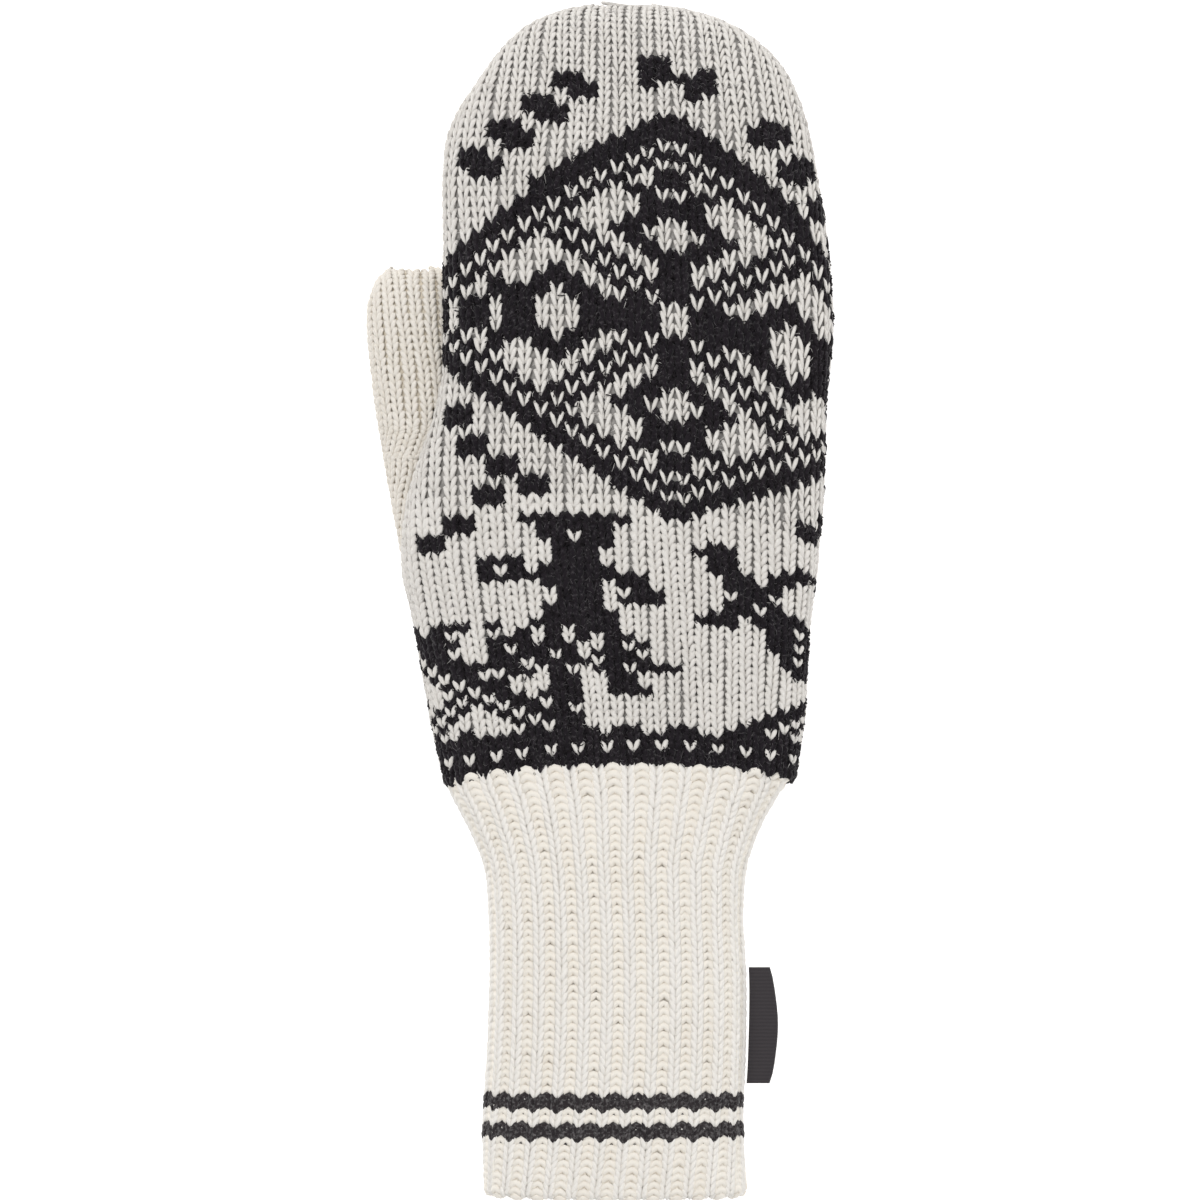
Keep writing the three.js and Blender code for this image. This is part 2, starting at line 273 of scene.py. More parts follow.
    def along_axis(self, t):
        """y on the axis line at arcs along."""
        return self.lookup(self.grid, np.zeros(len(t)), t)[:, 1]

    def point(self, s, t):
        """Points and unit normals."""
        return self.lookup(self.grid, s, t), unit(self.lookup(self.normal, s, t))


# Rows of knitting along a skin

# How far past a skin's end the sizes of rows are known, and rows are laid
KNOWN_PAST = 30 * MM
LAID_PAST = 20 * MM


def lay_rows(first, last, t, heights):
    """The arcs at which rows begin, from the heights of rows at the arcs t."""
    rows = [first]
    while rows[-1] < last:
        rows.append(rows[-1] + float(np.interp(rows[-1], t, heights)))
    return np.array(rows)


def row_arc(rows, row):
    """The arc at a row. It may lie between two rows or below the first."""
    t = np.interp(row, np.arange(len(rows)), rows)
    return t + np.minimum(row, 0) * (rows[1] - rows[0])


# Yarn: tubes swept along many short curves at once

# Share of its tile of the OFBake map that a tube fills, and the margin round it
TILE_FILL = 0.8
TILE_MARGIN = 0.1


def tube_faces(rings, sides):
    """One closed tube's faces, and its corners' places around and along it, each from 0 to 1."""
    quads, caps, quad_uv, cap_uv = [], [], [], []
    first, last = rings * sides, rings * sides + 1
    for r in range(rings - 1):
        for i in range(sides):
            j = (i + 1) % sides
            quads.append((r * sides + i, r * sides + j, (r + 1) * sides + j, (r + 1) * sides + i))
            quad_uv += [(i / sides, r), ((i + 1) / sides, r), ((i + 1) / sides, r + 1), (i / sides, r + 1)]
    for i in range(sides):
        j = (i + 1) % sides
        caps.append((j, i, first))
        caps.append(((rings - 1) * sides + i, (rings - 1) * sides + j, last))
        cap_uv += [((i + 1) / sides, 0), (i / sides, 0), ((i + 0.5) / sides, 0)]
        cap_uv += [(i / sides, rings - 1), ((i + 1) / sides, rings - 1), ((i + 0.5) / sides, rings - 1)]
    uv = np.array(quad_uv + cap_uv, float)
    uv[:, 1] /= rings - 1
    return np.array(quads), np.array(caps), uv


def vary(spread, count):
    """A chance number for each of many runs of yarn."""
    return rng.normal(0, spread, (count, 1))


def tubes(centre, normal, width, height, sides):
    """Closed tubes. centre and normal are (tubes, rings, 3); width and height are radii for each ring."""
    count, rings, _ = centre.shape
    tangent = unit(np.gradient(centre, axis=1))
    across = unit(np.cross(tangent, normal))
    up = np.cross(across, tangent)
    angle = np.arange(sides) / sides * 2 * math.pi
    cos, sin = np.cos(angle)[:, None], np.sin(angle)[:, None]
    width = np.broadcast_to(width, (count, rings))[..., None]
    height = np.broadcast_to(height, (count, rings))[..., None]
    ring = centre[:, :, None] + across[:, :, None] * cos * width[..., None]
    ring = ring + up[:, :, None] * sin * height[..., None]
    # The ends are blunt points
    start = centre[:, 0] - tangent[:, 0] * width[:, 0] * 0.5
    end = centre[:, -1] + tangent[:, -1] * width[:, -1] * 0.5
    points = np.concatenate([ring.reshape(count, rings * sides, 3), start[:, None], end[:, None]], 1)
    return points, *tube_faces(rings, sides)


def mesh_of_tubes(name, parts, finish):
    """One piece from results of tubes(). Each tube has its own tone and its own tile of the OFBake map."""
    tiles = math.ceil(math.sqrt(sum(len(part[0]) for part in parts)))
    verts, corners, sizes, local, atlas, tones = [], [], [], [], [], []
    offset, index = 0, 0
    for points, quads, caps, uv in parts:
        count, per = points.shape[:2]
        base = offset + np.arange(count)[:, None, None] * per
        faces = [(face[None] + base).reshape(count, -1) for face in (quads, caps)]
        corners.append(np.concatenate(faces, 1).reshape(-1))
        sizes.append(np.tile([4] * len(quads) + [3] * len(caps), count))
        verts.append(points.reshape(-1, 3))
        cell = np.arange(index, index + count)
        corner = np.stack([cell % tiles, cell // tiles], 1)[:, None]
        local.append(np.tile(uv, (count, 1)))
        atlas.append(((uv[None] * TILE_FILL + TILE_MARGIN + corner) / tiles).reshape(-1, 2))
        tones.append(np.repeat(rng.random(count), per))
        offset += count * per
        index += count
    verts, corners, sizes = np.concatenate(verts), np.concatenate(corners), np.concatenate(sizes)
    starts = np.concatenate([[0], np.cumsum(sizes)[:-1]])
    mesh = bpy.data.meshes.new(name)
    mesh.vertices.add(len(verts))
    mesh.vertices.foreach_set("co", verts.astype(np.float32).ravel())
    mesh.loops.add(len(corners))
    mesh.loops.foreach_set("vertex_index", corners.astype(np.int32))
    mesh.polygons.add(len(sizes))
    mesh.polygons.foreach_set("loop_start", starts.astype(np.int32))
    mesh.update(calc_edges=True)
    mesh.polygons.foreach_set("use_smooth", np.ones(len(sizes), bool))
    for layer, places in (("OFBake", atlas), ("Ply", local)):
        made = mesh.uv_layers.new(name=layer)
        made.data.foreach_set("uv", np.concatenate(places).astype(np.float32).ravel())
    tone = mesh.attributes.new("tone", "FLOAT", "POINT")
    tone.data.foreach_set("value", np.concatenate(tones).astype(np.float32))
    mesh.materials.append(finish)
    piece = bpy.data.objects.new(name, mesh)
    scene.collection.objects.link(piece)
    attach(piece, "root")
    return piece


# Finishes


class Finish:
    """A material in the making: its nodes, and short ways to add to them."""

    def __init__(self, name, colour, roughness, specular=0.15):
        self.material = bpy.data.materials.new(name)
        self.material.use_nodes = True
        self.nodes, self.links = self.material.node_tree.nodes, self.material.node_tree.links
        self.shader = self.nodes["Principled BSDF"]
        look = {"Base Color": colour, "Roughness": roughness, "Specular IOR Level": specular}
        self.put(self.shader, look)

    def put(self, node, values):
        """Fills a node's inputs, by name or number, from sockets, numbers, directions and colours."""
        for key, value in values.items():
            socket = node.inputs[key]
            if isinstance(value, bpy.types.NodeSocket):
                self.links.new(value, socket)
            elif socket.type == "RGBA":
                socket.default_value = (*value, 1)
            else:
                socket.default_value = value

    def node(self, kind, values, **settings):
        made = self.nodes.new(kind)
        for key, value in settings.items():
            setattr(made, key, value)
        self.put(made, values)
        return made

    def place(self):
        return self.node("ShaderNodeTexCoord", {}).outputs["Object"]

    def tone(self):
        """Each tube's own tone, from 0 to 1."""
        return self.node("ShaderNodeAttribute", {}, attribute_name="tone").outputs["Fac"]

    def noise(self, scale, detail):
        values = {"Vector": self.place(), "Scale": scale, "Detail": detail}
        return self.node("ShaderNodeTexNoise", values).outputs["Fac"]

    def ramp(self, value, low, high):
        """0 where the value is low or less, and 1 where it is high or more."""
        values = {"Value": value, "From Min": low, "From Max": high}
        return self.node("ShaderNodeMapRange", values).outputs["Result"]

    def mix(self, share, low, high):
        """A mix of two colours. A mix node's colour sockets are its inputs 6 and 7 and its output 2."""
        return self.node("ShaderNodeMix", {0: share, 6: low, 7: high}, data_type="RGBA").outputs[2]

    def colour(self, socket):
        self.put(self.shader, {"Base Color": socket})

    def bump(self, height, strength, depth):
        """Relief, with its depth in millimetres."""
        values = {"Height": height, "Strength": strength, "Distance": depth * MM}
        self.put(self.shader, {"Normal": self.node("ShaderNodeBump", values).outputs["Normal"]})


def wool(name, pale, deep, stray, flecks=0.0, bump=0.35, sheen=0.25):
    """Spun wool: plies twisted round the yarn, streaks of stray fibres, slow drifts of tone. flecks is how
    much further the streaks spread."""
    finish = Finish(name, pale, roughness=0.95)
    drift = finish.ramp(finish.noise(scale=60, detail=2), low=0.3, high=0.7)
    own = finish.mix(finish.tone(), finish.mix(drift, deep, pale), pale)
    streaks = finish.ramp(finish.noise(scale=1300, detail=3), low=0.62 - flecks, high=0.8)
    finish.colour(finish.mix(streaks, own, stray))
    around = finish.node("ShaderNodeUVMap", {}, uv_map="Ply").outputs["UV"]
    values = {"Vector": around, "Scale": (2.0, 1.6, 1.0)}
    twisted = finish.node("ShaderNodeMapping", values).outputs["Vector"]
    values = {"Vector": twisted, "Scale": 0.6, "Distortion": 1.5}
    plies = finish.node("ShaderNodeTexWave", values, bands_direction="DIAGONAL").outputs["Fac"]
    # The plies count half as much as the fine grain
    values = {0: plies, 1: 0.5, 2: finish.noise(scale=3500, detail=2)}
    height = finish.node("ShaderNodeMath", values, operation="MULTIPLY_ADD").outputs[0]
    finish.bump(height, strength=bump, depth=0.25)
    finish.put(finish.shader, {"Sheen Weight": sheen, "Sheen Roughness": 0.5})
    return finish.material


LIGHT_WOOL = wool(
    "light_wool", (0.79, 0.76, 0.72), (0.7, 0.67, 0.63), (0.88, 0.855, 0.82), flecks=0.04, bump=0.6
)
DARK_WOOL = wool(
    "dark_wool", (0.014, 0.0105, 0.014), (0.007, 0.0055, 0.008), (0.075, 0.068, 0.073),
    flecks=0.08, bump=0.6, sheen=0.12,
)
STRIPE_WOOL = wool(
    "stripe_wool", (0.032, 0.026, 0.028), (0.016, 0.012, 0.014), (0.2, 0.19, 0.19),
    flecks=0.14, bump=0.7, sheen=0.2,
)
CREAM_WOOL = wool("cream_wool", (0.89, 0.86, 0.815), (0.865, 0.83, 0.775), (0.94, 0.915, 0.88))
# The purl arcs are the cream yarn made warmer and darker: painted shade for the recessed purl columns
# between the ribs.
PAINTED_SHADE_PURL_WOOL = wool("purl_wool_painted_shade", (0.885, 0.84, 0.765), (0.86, 0.805, 0.72), (0.94, 0.9, 0.84))
# The thumb's wool is the cream yarn made warmer and darker: painted shade where the thumb lies against the
# hand.
PAINTED_SHADE_THUMB_WOOL = wool("thumb_wool_painted_shade", (0.82, 0.775, 0.71), (0.76, 0.71, 0.63), (0.9, 0.87, 0.81))


def fibre(name, colour):
    """Loose fibres, some of them deeper in tone."""
    finish = Finish(name, colour, roughness=0.9)
    finish.colour(finish.mix(finish.tone(), tuple(c * 0.6 for c in colour), colour))
    return finish.material


DARK_FIBRE = fibre("dark_fibre", (0.022, 0.018, 0.021))
GREY_FIBRE = fibre("grey_fibre", (0.17, 0.16, 0.165))
LIGHT_FIBRE = fibre("light_fibre", (0.86, 0.83, 0.8))


def backing(name, deep, pale):
    """What shows between the stitches: floats and the far side of the loops. The thumb's is a tan darker
    than its yarn, as painted shade.
    """
    finish = Finish(name, deep, roughness=1.0, specular=0.1)
    grain = finish.noise(scale=700, detail=3)
    finish.colour(finish.mix(finish.ramp(grain, low=0.35, high=0.7), deep, pale))
    finish.bump(grain, strength=0.6, depth=0.4)
    return finish.material


HAND_BACK = backing("hand_backing", (0.26, 0.25, 0.24), (0.5, 0.48, 0.46))
CREAM_BACK = backing("cream_backing", (0.86, 0.82, 0.74), (0.92, 0.89, 0.83))
# The thumb's backing is a tan well below the thumb's wool: painted shade in the gaps between its stitches.
PAINTED_SHADE_THUMB_BACK = backing("thumb_backing_painted_shade", (0.68, 0.61, 0.5), (0.82, 0.76, 0.66))


def tape():
    """Black tape, woven across its length."""
    finish = Finish("tape", (0.035, 0.033, 0.036), roughness=0.8)
    values = {"Vector": finish.place(), "Scale": 900, "Distortion": 0.5}
    weave = finish.node("ShaderNodeTexWave", values, bands_direction="Y").outputs["Fac"]
    finish.colour(finish.mix(weave, (0.026, 0.022, 0.025), (0.068, 0.062, 0.066)))
    finish.bump(weave, strength=0.4, depth=0.1)
    return finish.material


# The colourwork chart: columns are counted from the lozenge's axis, rows from the wrist

# The palm carries the chart on round the sides: a column there and its column in the chart add up to these
RIGHT_TURN = 24
LEFT_TURN = -34

LOZENGE_ROW = 50
BAND_LOZENGES = (-23.5, 19.5, -38.5, 34.5)

# A dancer in a hat and a wide skirt, top row first, and the chart's first column and top row
DANCER = [
    "...#######....",
    "....#####.....",
    "....##.##.....",
    ".....####.....",
    ".....###......",
    "###..###......",
    "#.#.#####.....",
    "###########...",
    "....####.##...",
    ".....###..##..",
    ".....###.###..",
    "....####......",
    "....#####.....",
    "...######.....",
    "..#.#.###.....",
    "..###.#.##....",
    ".#.####.#.#...",
    ".###.#.###....",
    "##.####.###...",
    "....##.##.###.",
    "....##..##....",
    "....##..##....",
    "...###..###...",
]
DANCER_AT = (-13, 30)

# A smaller dancer, seen from the side
PARTNER = [
    ".##....###",
    "###...##.#",
    ".##..##...",
    ".###.#....",
    "..####....",
    "..###.....",
    "...###....",
    "..##.###..",
    "..#######.",
    ".##.###.##",
    "###..#####",
    ".....##.##",
    ".....####.",
    "......#.##",
    "......####",
    ".......##.",
]
PARTNER_AT = (1, 28)

# A bud of the sprigs beside the lozenge, and where the left ones are. Those on the right are rows lower.
BUD = [
    "##.",
    "###",
    ".##",
]
BUDS = [(-8, 74), (-10, 71), (-12, 68), (-14, 65)]
BUD_DROP = 3

# A seed of the sprigs below it
SEED = [
    "##",
    "##",
]
SEEDS = [(-15, 41), (-14, 38), (-12, 36), (-10, 34), (-13, 33), (-15, 30), (-17, 28)]

# A small knot over the lozenge
KNOT = [
    "##...",
    "##..#",
    "#####",
    "#..##",
    "...#.",
]
KNOT_AT = (-2, 77)


def charted(chart, column, row, left, top):
    """Whether a chart is dark at a stitch. left is its first column and top its first row."""
    y = (top - row).astype(int)
    x = (column - left).astype(int)
    inside = (y >= 0) & (y < len(chart)) & (x >= 0) & (x < len(chart[0]))
    cells = np.array([[c == "#" for c in line] for line in chart])
    return inside & cells[np.clip(y, 0, len(chart) - 1), np.clip(x, 0, len(chart[0]) - 1)]


def lozenge(across, up):
    """Where a lozenge is, and where it is dark. across is in stitches and up in rows from its middle."""
    # a and b count from its two axes, and k counts outwards
    a = np.floor(np.abs(across))
    b = np.abs(up)
    k = a + b
    # Two dotted lines run all round, and short ones cross the quarters between the arms
    light = (k == 17) | ((k == 15) & (a < 15))
    steep = b - a
    light |= np.isin(steep, (-1, 1, 3)) & (a > 0) & (b > 1) & (k < 15)
    light |= ((steep == 4) & (a > 0) & (a < 5)) | ((steep == -2) & (b > 1) & (b < 6))
    # Light patches, alike, beside the upright and the level arms
    for first in (2, 7):
        u = a - first
        light |= (u == 0) & np.isin(k, (12, 13))
        light |= np.isin(u, (1, 2)) & np.isin(k, (12, 13, 14))
        light |= (u == 3) & np.isin(k, (13, 14))
    # Middles of the arms' rings, the light bars past them, and the lozenge's own middle
    light |= ((a == 0) & np.isin(b, (0, 1, 7, 8, 9, 12))) | ((a == 1) & np.isin(b, (8, 13)))
    light |= (np.isin(a, (6, 7, 8, 11, 14)) & (b < 2)) | (np.isin(a, (7, 12)) & (b == 2))
    # The upper corner has one row more
    inside = k <= np.where((up > 0) & (a < 9), 20, 19)
    return inside, ~light & inside


def is_dark(column, row):
    """The chart: True where a stitch of the hand is in the dark yarn."""
    inside, dark = lozenge(column + 0.5, row - LOZENGE_ROW)
    dark |= charted(DANCER, column, row, *DANCER_AT) & ~inside
    dark |= charted(PARTNER, column, row, *PARTNER_AT) & ~inside
    for side, drop in ((column, 0), (-1 - column, BUD_DROP)):
        for left, top in BUDS:
            dark |= charted(BUD, side, row, left, top - drop) & ~inside
        for left, top in SEEDS:
            dark |= charted(SEED, side, row, left, top) & ~inside
    dark |= charted(KNOT, column, row, *KNOT_AT)
    # A dotted ground beside the dancer, with two bare spots
    ground = (column <= -8) & (column > -20) & (row <= 17) & (np.abs(column + 23.5) + row >= 20)
    ground &= column + row <= 4
    bare = np.mod(column + 2 * row, 4) == 0
    bare |= (np.abs(column + 14.5) < 1) & (row > 12) & (row < 17)
    bare |= (np.abs(column + 10) < 2.5) & (row > 7) & (row < 11)
    dark |= ground & ~bare
    # Single light stitches in the skirt and beside it
    skirt = (column > -14) & (column < -6) & (row > 10) & (row < 18)
    dark &= ~(skirt & (np.mod(column + 3 * row, 5) == 0))
    # Halves of four more lozenges stand on the wrist
    for centre in BAND_LOZENGES:
        inside, low = lozenge(column - centre, row)
        dark = np.where(inside, low, dark)
        reach = np.abs(column - centre)
        dark = np.where((row <= 3) & (reach > 19), True, dark)
    # Pairs of light stitches between them, a dark row, a row of dots and the dark edge
    valley = np.min([np.abs(column - centre) for centre in BAND_LOZENGES], axis=0) > 17
    dark &= ~(valley & (row == 3) & np.isin(np.mod(column, 4), (1, 2)))
    dark |= row == 2
    dark = np.where(row == 1, np.mod(column, 2) == 1, dark)
    return dark | (row <= 0)


# Stitches of the hand

# A leg of a knit stitch: across in columns, along in rows, height over the skin in millimetres, thickness
# as a share of the yarn's
LEG = np.array([
    (0.075, -0.28, -0.64, 0.68),
    (0.13, 0.08, -0.38, 0.92),
    (0.205, 0.46, -0.22, 1.06),
    (0.285, 0.84, -0.28, 1.1),
    (0.38, 1.16, -0.56, 0.92),
])
LEG_END = LEG[-1, 1]
# The legs, their number of sides and how far, in columns, they pass the side lines: above and underneath
LEGS = {1: LEG, -1: LEG[[0, 1, 3, 4]]}
SIDES = {1: 5, -1: 4}
OVER = {1: 0.5, -1: -0.3}
# The yarn's radius in columns, and its run behind a stitch: across, along, height in millimetres
LEG_RADIUS = 0.138
FLOAT = np.array([(-0.56, 0.5, -0.72), (0.0, 0.5, -0.66), (0.56, 0.5, -0.72)])
FLOAT_WIDTH = 0.42
FLOAT_HEIGHT = 0.07
# How much stitches vary: sway and lean across in columns, size, place along in rows, height in millimetres
SWAY = 0.02
LEAN = 0.012
VARIED_SIZE = 0.06
VARIED_ROW = 0.05
VARIED_HEIGHT = 0.05
# How far loose fibres bend, in radians, and how deep they start, in millimetres
HAIR_BEND = 1.1
HAIR_ROOT = 0.35

# Heights of rows, widths of columns and the pattern's axis, in pixels, by height in the picture
HAND_ROWS = [
    (0, 8.7), (60, 8.3), (100, 8.5), (140, 9.1), (200, 9.8), (260, 10.4), (340, 10.75), (430, 10.5),
    (500, 9.6), (540, 8.05), (600, 7.4), (700, 7.45), (762, 7.75),
]
HAND_COLUMNS = [
    (0, 13.8), (60, 14.4), (120, 15.1), (180, 15.7), (320, 15.6), (450, 15.7), (560, 15.4), (640, 14.8),
    (700, 14.2), (762, 13.8),
]
HAND_AXIS = [(0, 673), (120, 679), (190, 679), (260, 682), (500, 682), (640, 687), (762, 690)]

# How far a row sags, in pixels, for columns from the axis (first line) at heights in the picture
SAG_COLUMNS = np.array([-18.0, -14.0, -10.0, -6.0, -3.0, 0.0, 3.0, 6.0, 9.0, 12.0])
SAG = np.array([
    (60, -24, -18, -13, -8, -4, 0, 5, 12, 22, 33),
    (200, -13, -14, -15, -14, -8, 0, 7, 15, 28, 42),
    (330, -3, -8, -10, -8, -5, 0, 11, 27, 46, 65),
    (480, -4, -7, -9, -8, -5, 0, 11, 28, 46, 62),
    (620, 6, 1, -3, -4, -2, 0, 7, 17, 28, 38),
    (762, 20, 12, 5, 1, -1, 0, 3, 9, 14, 17),
], float)
# The columns at the back's side lines, whose sag the palm takes over
SIDE_COLUMNS = (-17.0, 12.0)


def sag(column, y):
    """How far the rows sag at a column, in metres, where the row crosses the axis at y."""
    levels = SAG[:, 0]
    at = np.clip(picture_height(y), levels[0], levels[-1] - 0.01)
    low = np.searchsorted(levels, at, side="right") - 1
    f = (at - levels[low]) / (levels[low + 1] - levels[low])
    column = np.clip(column, SAG_COLUMNS[0], SAG_COLUMNS[-1])
    i = np.clip(np.searchsorted(SAG_COLUMNS, column, side="right") - 1, 0, len(SAG_COLUMNS) - 2)
    g = (column - SAG_COLUMNS[i]) / (SAG_COLUMNS[i + 1] - SAG_COLUMNS[i])
    near = SAG[low, i + 1] * (1 - g) + SAG[low, i + 2] * g
    far = SAG[low + 1, i + 1] * (1 - g) + SAG[low + 1, i + 2] * g
    return (near * (1 - f) + far * f) * PIXEL


class Fabric:
    """Plain knitting on a skin: places stitches by column and row."""

    # Columns that are tried on each row
    COLUMNS = np.arange(-26, 20)
    # How far stitches may run on round a tip
    REACH = 0.3 * MM
    # How far from its middle a stitch is checked against the tip, in columns
    HALF = 0.4

    def __init__(self, skin, row_heights, column_widths, start, sags):
        self.skin, self.sags = skin, sags
        self.t = np.arange(skin.t0, skin.t_end + KNOWN_PAST, MM)
        self.y = skin.along_axis(np.minimum(self.t, skin.t_end))
        self.widths = table(column_widths, picture_height(self.y)) * PIXEL
        heights = table(row_heights, picture_height(self.y)) * PIXEL
        self.rows = lay_rows(start, skin.t_end + LAID_PAST, self.t, heights)

    def width(self, t):
        """How wide a column is at arcs along the skin."""
        return np.interp(t, self.t, self.widths)

    def fall(self, column, t):
        """How far the rows sag: as in the table on the back, and straight from side to side on the palm."""
        y = np.interp(t, self.t, self.y)
        if self.skin.side > 0:
            return sag(column, y)
        s = column * self.width(t)
        share = np.clip(self.skin.share(s, np.minimum(t, self.skin.t_end)), -1, 1)
        left, right = [sag(np.full(share.shape, side), y) for side in SIDE_COLUMNS]
        return (left + right) / 2 + (right - left) / 2 * share

    def settle(self, column, row):
        """The arcs across and along the skin for places counted in columns and rows."""
        t = row_arc(self.rows, row)
        if self.sags:
            t = t - self.fall(column, t)
        return column * self.width(t), t

    def panel(self, over, past):
        """The stitches between the side lines that end by the tip. over is in columns, past in metres."""
        column, row = every(self.COLUMNS, np.arange(-1, len(self.rows) - 2))
        s, t = self.settle(column, row + 0.5)
        inside = s < self.skin.line(self.skin.right, t) + over * self.width(t)
        inside &= s > self.skin.line(self.skin.left, t) - over * self.width(t)
        for side in (-self.HALF, self.HALF):
            inside &= self.settle(column + side, row + LEG_END)[1] < self.skin.t_end + past
        return column[inside], row[inside]

    def point(self, column, row):
        """Points, unit normals and the widths of columns there."""
        s, t = self.settle(column, row)
        p, n = self.skin.point(s, np.minimum(t, self.skin.t_end + self.REACH))
        return p, n, self.width(t)

    def legs(self, column, row, drift, fat, lift=0.0):
        """The two legs of each stitch. fat and lift, in millimetres, are numbers for each stitch."""
        made = []
        count = len(column)
        shape, sides = LEGS[self.skin.side], SIDES[self.skin.side]
        lift = np.broadcast_to(lift, column.shape)[:, None]
        fat = np.broadcast_to(fat, column.shape)[:, None]
        sway = vary(SWAY, count) + drift[:, None]
        size = 1 + vary(VARIED_SIZE, count)
        for hand in (-1, 1):
            lean = vary(LEAN, count)
            across = column[:, None] + hand * shape[:, 0] + sway + lean * (shape[:, 1] - 0.5)
            along = row[:, None] + shape[:, 1] + vary(VARIED_ROW, count)
            p, n, width = self.point(across, along)
            p = p + n * (shape[:, 2] + lift + vary(VARIED_HEIGHT, count))[..., None] * MM
            radius = LEG_RADIUS * width * shape[:, 3] * size * fat
            made.append(tubes(p, n, radius, radius * 0.9, sides))
        return made

    def floats(self, column, row):
        """The yarn behind each stitch."""
        p, n, width = self.point(column[:, None] + FLOAT[:, 0], row[:, None] + FLOAT[:, 1])
        return [tubes(p + n * FLOAT[:, 2, None] * MM, n, FLOAT_WIDTH * width, FLOAT_HEIGHT * width, 4)]

    def hairs(self, column, row, count, length, lift, radius):
        """Loose fibres that lie over the knitting, with sizes in millimetres."""
        pick = rng.integers(0, len(column), count)
        c = column[pick] + rng.uniform(-0.5, 0.5, count)
        r = row[pick] + rng.uniform(0, 1, count)
        s, t = self.settle(c, r)
        turn = rng.uniform(0, 2 * math.pi, count)
        bend = rng.normal(0, HAIR_BEND, count)
        span = length * rng.uniform(0.4, 1.3, count) * MM
        # Each fibre has three rings, so two steps
        share = np.linspace(0, 1, 3)
        angle = (turn[:, None] + bend[:, None] * share)[:, :2]
        step = span[:, None] / 2
        still = np.zeros((count, 1))
        ds = np.concatenate([still, np.cumsum(np.cos(angle) * step, 1)], 1)
        dt = np.concatenate([still, np.cumsum(np.sin(angle) * step, 1)], 1)
        low, high = self.skin.line(self.skin.left, t) - MM, self.skin.line(self.skin.right, t) + MM
        s = np.clip(s[:, None] + ds, low[:, None], high[:, None])
        p, n = self.skin.point(s, np.minimum(t[:, None] + dt, self.skin.t_end + self.REACH))
        top = lift * rng.uniform(0.5, 1.4, count)
        height = -HAIR_ROOT + (top[:, None] + HAIR_ROOT) * np.sin(math.pi * (0.1 + 0.75 * share))
        return [tubes(p + n * height[..., None] * MM, n, radius * MM, radius * MM, 3)]


WRIST_HEIGHT = 762
wrist_y = along_picture(WRIST_HEIGHT)
hand_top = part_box("hand")[1].y
# How far the skins end short of the tips, the hand's begins past the wrist, its rows start past that, and
# its last stitches may pass its end
TIP_GAP = 0.15 * MM
WRIST_GAP = 1.0 * MM
HAND_START = 0.3 * MM
HAND_PAST = -0.2 * MM

# How fat the yarn is, and how much fatter for each neighbour of the same yarn
DARK_FAT = (1.24, 0.04)
LIGHT_FAT = (0.94, 0.025)
# Light stitches in the lowest rows and all on the palm are fatter, where the cloth is drawn together
WRIST_ROWS = 32
WRIST_FAT = 1.32
PALM_FAT = 1.12
# How much a light stitch on its own stands out, in millimetres
LONE_LIFT = 0.06
# The light stitches below and above this row are two pieces
SPLIT_ROW = 45

# Loose fibres where the dark yarn meets the light, on both yarns and in grey: how many, and their length,
# height and radius in millimetres
FUZZ = [
    ("edge", 4600, 1.5, 0.4, 0.19, DARK_FIBRE),
    ("dark", 700, 2.2, 0.3, 0.09, DARK_FIBRE),
    ("grey", 3000, 1.6, 0.35, 0.055, GREY_FIBRE),
    ("light", 3500, 2.0, 0.25, 0.06, LIGHT_FIBRE),
]


def dress_hand():
    """Stitches all over the hand, the floats behind them, and loose fibres on its back."""
    for name, side in (("back", 1), ("palm", -1)):
        low, high = wrist_y + WRIST_GAP, hand_top - TIP_GAP
        skin = Skin("hand", low, high, axis_line(HAND_AXIS), side, fill=True)
        cloth = Fabric(skin, HAND_ROWS, HAND_COLUMNS, HAND_START, True)
        column, row = cloth.panel(OVER[side], HAND_PAST)
        drift = 0.06 * np.sin(row * 0.21 + column * 1.7) + 0.04 * np.sin(row * 0.09 + column * 0.6)
        around = column
        if side < 0:
            around = np.where(column >= 0, RIGHT_TURN - column, LEFT_TURN - column)
        dark = is_dark(around, row)
        # Stitches among others of their yarn swell to fill the cloth
        neighbours = ((-1, 0), (1, 0), (0, -1), (0, 1))
        alike = np.sum([is_dark(around + i, row + j) == dark for i, j in neighbours], axis=0)
        fat = np.where(dark, DARK_FAT[0] + DARK_FAT[1] * alike, LIGHT_FAT[0] + LIGHT_FAT[1] * alike)
        fat = fat * np.where(dark | (row > WRIST_ROWS), 1, WRIST_FAT) * (1 if side > 0 else PALM_FAT)
        lift = np.where(dark, 0, LONE_LIFT * np.maximum(2 - alike, 0))
        yarns = (
            ("light_1", ~dark & (row < SPLIT_ROW), LIGHT_WOOL),
            ("light_2", ~dark & (row >= SPLIT_ROW), LIGHT_WOOL),
            ("dark", dark, DARK_WOOL),
        )
        for yarn, pick, finish in yarns:
            legs = cloth.legs(column[pick], row[pick], drift[pick], fat[pick], lift[pick])
            mesh_of_tubes(f"{name}_{yarn}", legs, finish)
        behind = mesh_of_tubes(f"{name}_floats", cloth.floats(column[dark], row[dark]), DARK_WOOL)
        if side > 0:
            under = {"edge": dark & (alike < 4), "dark": dark, "grey": dark, "light": ~dark}
            for kind, count, length, height, radius, finish in FUZZ:
                c, r = column[under[kind]], row[under[kind]]
                hairs = cloth.hairs(c, r, count, length, height, radius)
                mesh_of_tubes(f"{name}_fuzz_{kind}", hairs, finish)


dress_hand()

# The cuff

